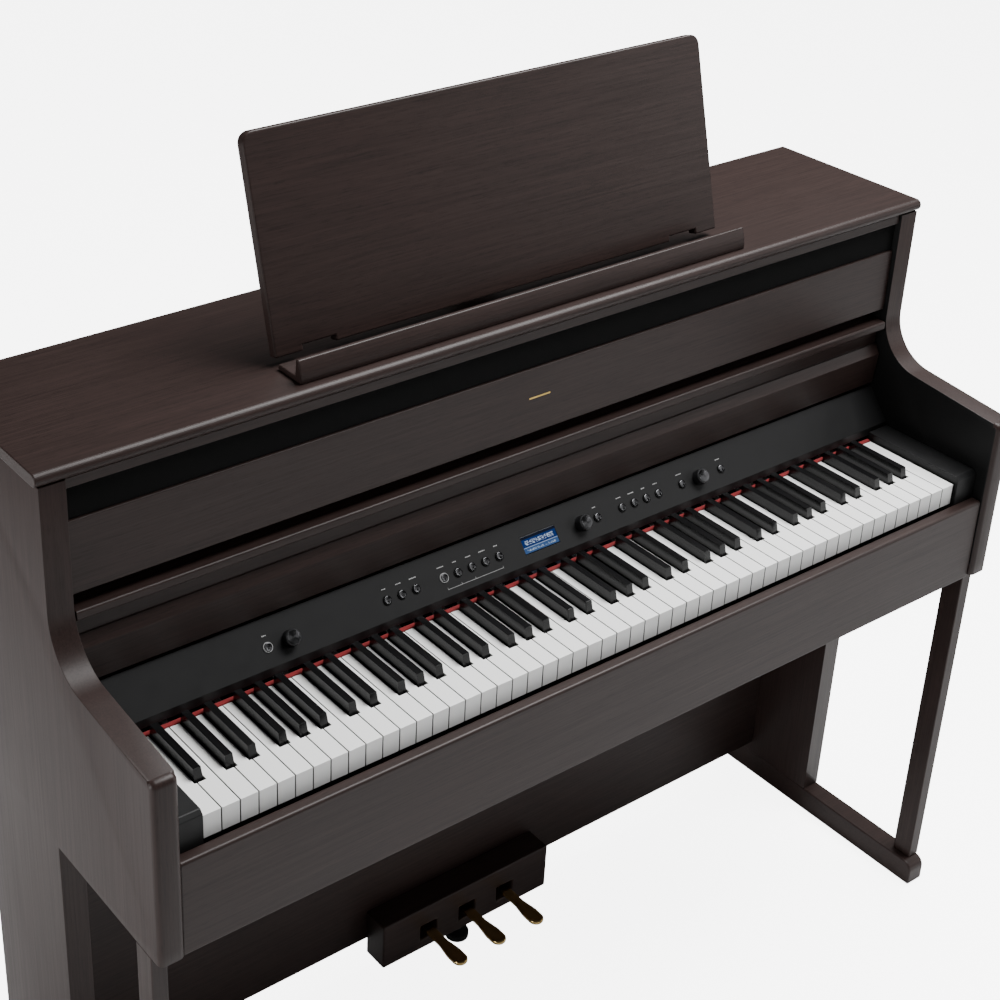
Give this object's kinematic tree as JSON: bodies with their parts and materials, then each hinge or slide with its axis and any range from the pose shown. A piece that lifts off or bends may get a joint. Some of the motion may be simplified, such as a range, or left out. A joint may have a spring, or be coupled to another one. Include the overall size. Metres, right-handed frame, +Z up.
{
  "type": "digital piano",
  "caption": "Upright digital piano on a board stand, with a sliding fallboard, folding music desk, sloping control panel, weighted keyboard and pedal unit.",
  "frame": {"origin": "centre of the bounding box at floor level", "axes": "+X to the player's right along the keyboard, +Y to the back of the piano, +Z up"},
  "size_m": [1.377, 0.476, 1.3462],
  "materials": {
    "rosewood_film": "satin dark rosewood film on particle board",
    "black_plastic": "fine-textured dark grey moulding",
    "white_key": "satin ivory-feel white",
    "black_key": "matt ebony-feel black",
    "speaker_cloth": "black woven speaker cloth",
    "red_felt": "red wool felt",
    "display": "clear window over a blue display",
    "control_caps": "satin dark caps",
    "brass": "polished",
    "plate_steel": "dark textured paint",
    "circuit_board": "green solder mask"
  },
  "bodies": {
    "cabinet": {"back_panel": "rosewood_film", "black_keys": "black_key", "cheek_block_left": "black_plastic", "cheek_block_right": "black_plastic", "control_panel": "black_plastic", "display_window": "display", "felt_strip": "red_felt", "foot_left": "rosewood_film", "foot_right": "rosewood_film", "front_leg_left": "rosewood_film", "front_leg_right": "rosewood_film", "key_bed": "rosewood_film", "key_chassis": "black_plastic", "key_slip": "rosewood_film", "lid_fascia": "rosewood_film", "main_board": "circuit_board", "modesty_panel": "rosewood_film", "music_ledge": "rosewood_film", "pedal_box": "rosewood_film", "rear_jack_plate": "plate_steel", "side_panel_left": "rosewood_film", "side_panel_right": "rosewood_film", "speaker_cloth": "speaker_cloth", "speaker_left": "black_plastic", "speaker_right": "black_plastic", "top_lid": "rosewood_film", "upper_front_panel": "rosewood_film", "white_keys": "white_key"},
    "desk": {"music_desk": "rosewood_film"},
    "prop": {"desk_prop": "rosewood_film"},
    "fallboard": {"fallboard": "rosewood_film", "fallboard_apron": "rosewood_film"},
    "key_c4": {"key_c4": "white_key"},
    "key_c_sharp4": {"key_c_sharp4": "black_key"},
    "key_d4": {"key_d4": "white_key"},
    "key_d_sharp4": {"key_d_sharp4": "black_key"},
    "key_e4": {"key_e4": "white_key"},
    "power_button": {"power_button": "control_caps"},
    "mode_button_a": {"mode_button_a": "control_caps"},
    "mode_button_b": {"mode_button_b": "control_caps"},
    "mode_button_c": {"mode_button_c": "control_caps"},
    "tone_button_a": {"tone_button_a": "control_caps"},
    "tone_button_b": {"tone_button_b": "control_caps"},
    "tone_button_c": {"tone_button_c": "control_caps"},
    "tone_button_d": {"tone_button_d": "control_caps"},
    "tone_button_e": {"tone_button_e": "control_caps"},
    "exit_button": {"exit_button": "control_caps"},
    "song_button_a": {"song_button_a": "control_caps"},
    "song_button_b": {"song_button_b": "control_caps"},
    "song_button_c": {"song_button_c": "control_caps"},
    "song_button_d": {"song_button_d": "control_caps"},
    "metronome_button": {"metronome_button": "control_caps"},
    "mark_button": {"mark_button": "control_caps"},
    "volume_knob": {"volume_knob": "control_caps"},
    "dial_knob": {"dial_knob": "control_caps"},
    "tempo_knob": {"tempo_knob": "control_caps"},
    "soft_pedal": {"soft_pedal": "brass"},
    "middle_pedal": {"middle_pedal": "brass"},
    "damper_pedal": {"damper_pedal": "brass"},
    "adjuster": {"pedal_adjuster": "black_plastic"}
  },
  "joints": [
    {"name": "desk_tilt", "type": "hinge", "parent": "cabinet", "child": "desk", "pos_m": [0, 0.052, 1.101], "axis": [-1, 0, 0], "range_deg": [0, 75]},
    {"name": "desk_tilt_prop", "type": "hinge", "parent": "desk", "child": "prop", "pos_m": [0, 0.09431, 1.22218], "axis": [1, 0, 0], "range_deg": [0, 150.6]},
    {"name": "fallboard_slide", "type": "slide", "parent": "cabinet", "child": "fallboard", "axis": [0, -0.9654, -0.2607], "range_m": [0, 0.208]},
    {"name": "key_press_c4", "type": "hinge", "parent": "cabinet", "child": "key_c4", "pos_m": [0, 0.014, 0.712], "axis": [1, 0, 0], "range_deg": [0, 2.6], "stiffness_Nm_per_rad": 1, "springref_deg": -20.05},
    {"name": "key_press_c_sharp4", "type": "hinge", "parent": "cabinet", "child": "key_c_sharp4", "pos_m": [0, 0.014, 0.712], "axis": [1, 0, 0], "range_deg": [0, 2.6], "stiffness_Nm_per_rad": 1, "springref_deg": -20.05},
    {"name": "key_press_d4", "type": "hinge", "parent": "cabinet", "child": "key_d4", "pos_m": [0, 0.014, 0.712], "axis": [1, 0, 0], "range_deg": [0, 2.6], "stiffness_Nm_per_rad": 1, "springref_deg": -20.05},
    {"name": "key_press_d_sharp4", "type": "hinge", "parent": "cabinet", "child": "key_d_sharp4", "pos_m": [0, 0.014, 0.712], "axis": [1, 0, 0], "range_deg": [0, 2.6], "stiffness_Nm_per_rad": 1, "springref_deg": -20.05},
    {"name": "key_press_e4", "type": "hinge", "parent": "cabinet", "child": "key_e4", "pos_m": [0, 0.014, 0.712], "axis": [1, 0, 0], "range_deg": [0, 2.6], "stiffness_Nm_per_rad": 1, "springref_deg": -20.05},
    {"name": "panel_power_button", "type": "slide", "parent": "cabinet", "child": "power_button", "axis": [0, 0.766, -0.6428], "range_m": [0, 0.0012], "stiffness_N_per_m": 600, "springref_m": -0.001},
    {"name": "panel_mode_button_a", "type": "slide", "parent": "cabinet", "child": "mode_button_a", "axis": [0, 0.766, -0.6428], "range_m": [0, 0.0012], "stiffness_N_per_m": 600, "springref_m": -0.001},
    {"name": "panel_mode_button_b", "type": "slide", "parent": "cabinet", "child": "mode_button_b", "axis": [0, 0.766, -0.6428], "range_m": [0, 0.0012], "stiffness_N_per_m": 600, "springref_m": -0.001},
    {"name": "panel_mode_button_c", "type": "slide", "parent": "cabinet", "child": "mode_button_c", "axis": [0, 0.766, -0.6428], "range_m": [0, 0.0012], "stiffness_N_per_m": 600, "springref_m": -0.001},
    {"name": "panel_tone_button_a", "type": "slide", "parent": "cabinet", "child": "tone_button_a", "axis": [0, 0.766, -0.6428], "range_m": [0, 0.0012], "stiffness_N_per_m": 600, "springref_m": -0.001},
    {"name": "panel_tone_button_b", "type": "slide", "parent": "cabinet", "child": "tone_button_b", "axis": [0, 0.766, -0.6428], "range_m": [0, 0.0012], "stiffness_N_per_m": 600, "springref_m": -0.001},
    {"name": "panel_tone_button_c", "type": "slide", "parent": "cabinet", "child": "tone_button_c", "axis": [0, 0.766, -0.6428], "range_m": [0, 0.0012], "stiffness_N_per_m": 600, "springref_m": -0.001},
    {"name": "panel_tone_button_d", "type": "slide", "parent": "cabinet", "child": "tone_button_d", "axis": [0, 0.766, -0.6428], "range_m": [0, 0.0012], "stiffness_N_per_m": 600, "springref_m": -0.001},
    {"name": "panel_tone_button_e", "type": "slide", "parent": "cabinet", "child": "tone_button_e", "axis": [0, 0.766, -0.6428], "range_m": [0, 0.0012], "stiffness_N_per_m": 600, "springref_m": -0.001},
    {"name": "panel_exit_button", "type": "slide", "parent": "cabinet", "child": "exit_button", "axis": [0, 0.766, -0.6428], "range_m": [0, 0.0012], "stiffness_N_per_m": 600, "springref_m": -0.001},
    {"name": "panel_song_button_a", "type": "slide", "parent": "cabinet", "child": "song_button_a", "axis": [0, 0.766, -0.6428], "range_m": [0, 0.0012], "stiffness_N_per_m": 600, "springref_m": -0.001},
    {"name": "panel_song_button_b", "type": "slide", "parent": "cabinet", "child": "song_button_b", "axis": [0, 0.766, -0.6428], "range_m": [0, 0.0012], "stiffness_N_per_m": 600, "springref_m": -0.001},
    {"name": "panel_song_button_c", "type": "slide", "parent": "cabinet", "child": "song_button_c", "axis": [0, 0.766, -0.6428], "range_m": [0, 0.0012], "stiffness_N_per_m": 600, "springref_m": -0.001},
    {"name": "panel_song_button_d", "type": "slide", "parent": "cabinet", "child": "song_button_d", "axis": [0, 0.766, -0.6428], "range_m": [0, 0.0012], "stiffness_N_per_m": 600, "springref_m": -0.001},
    {"name": "panel_metronome_button", "type": "slide", "parent": "cabinet", "child": "metronome_button", "axis": [0, 0.766, -0.6428], "range_m": [0, 0.0012], "stiffness_N_per_m": 600, "springref_m": -0.001},
    {"name": "panel_mark_button", "type": "slide", "parent": "cabinet", "child": "mark_button", "axis": [0, 0.766, -0.6428], "range_m": [0, 0.0012], "stiffness_N_per_m": 600, "springref_m": -0.001},
    {"name": "knob_volume", "type": "hinge", "parent": "cabinet", "child": "volume_knob", "pos_m": [-0.386, -0.03657, 0.77239], "axis": [0, -0.766, 0.6428], "range_deg": [-150, 150]},
    {"name": "knob_dial", "type": "hinge", "parent": "cabinet", "child": "dial_knob", "pos_m": [0.07, -0.03657, 0.77239], "axis": [0, -0.766, 0.6428], "continuous": true},
    {"name": "knob_tempo", "type": "hinge", "parent": "cabinet", "child": "tempo_knob", "pos_m": [0.282, -0.03657, 0.77239], "axis": [0, -0.766, 0.6428], "range_deg": [-150, 150]},
    {"name": "pedal_soft", "type": "hinge", "parent": "cabinet", "child": "soft_pedal", "pos_m": [-0.072, 0.088, 0.0665], "axis": [1, 0, 0], "range_deg": [0, 8], "stiffness_Nm_per_rad": 5, "springref_deg": -8.59},
    {"name": "pedal_middle", "type": "hinge", "parent": "cabinet", "child": "middle_pedal", "pos_m": [0, 0.088, 0.0665], "axis": [1, 0, 0], "range_deg": [0, 8], "stiffness_Nm_per_rad": 5, "springref_deg": -8.59},
    {"name": "pedal_damper", "type": "hinge", "parent": "cabinet", "child": "damper_pedal", "pos_m": [0.072, 0.088, 0.0665], "axis": [1, 0, 0], "range_deg": [0, 8], "stiffness_Nm_per_rad": 5, "springref_deg": -8.59},
    {"name": "screw_foot_turn", "type": "hinge", "parent": "cabinet", "child": "adjuster", "pos_m": [0, 0.0915, 0], "axis": [0, 0, 1], "continuous": true}
  ],
  "couplings": [
    {"joint": "desk_tilt_prop", "follows": "desk_tilt", "ratio": 2.004}
  ]
}
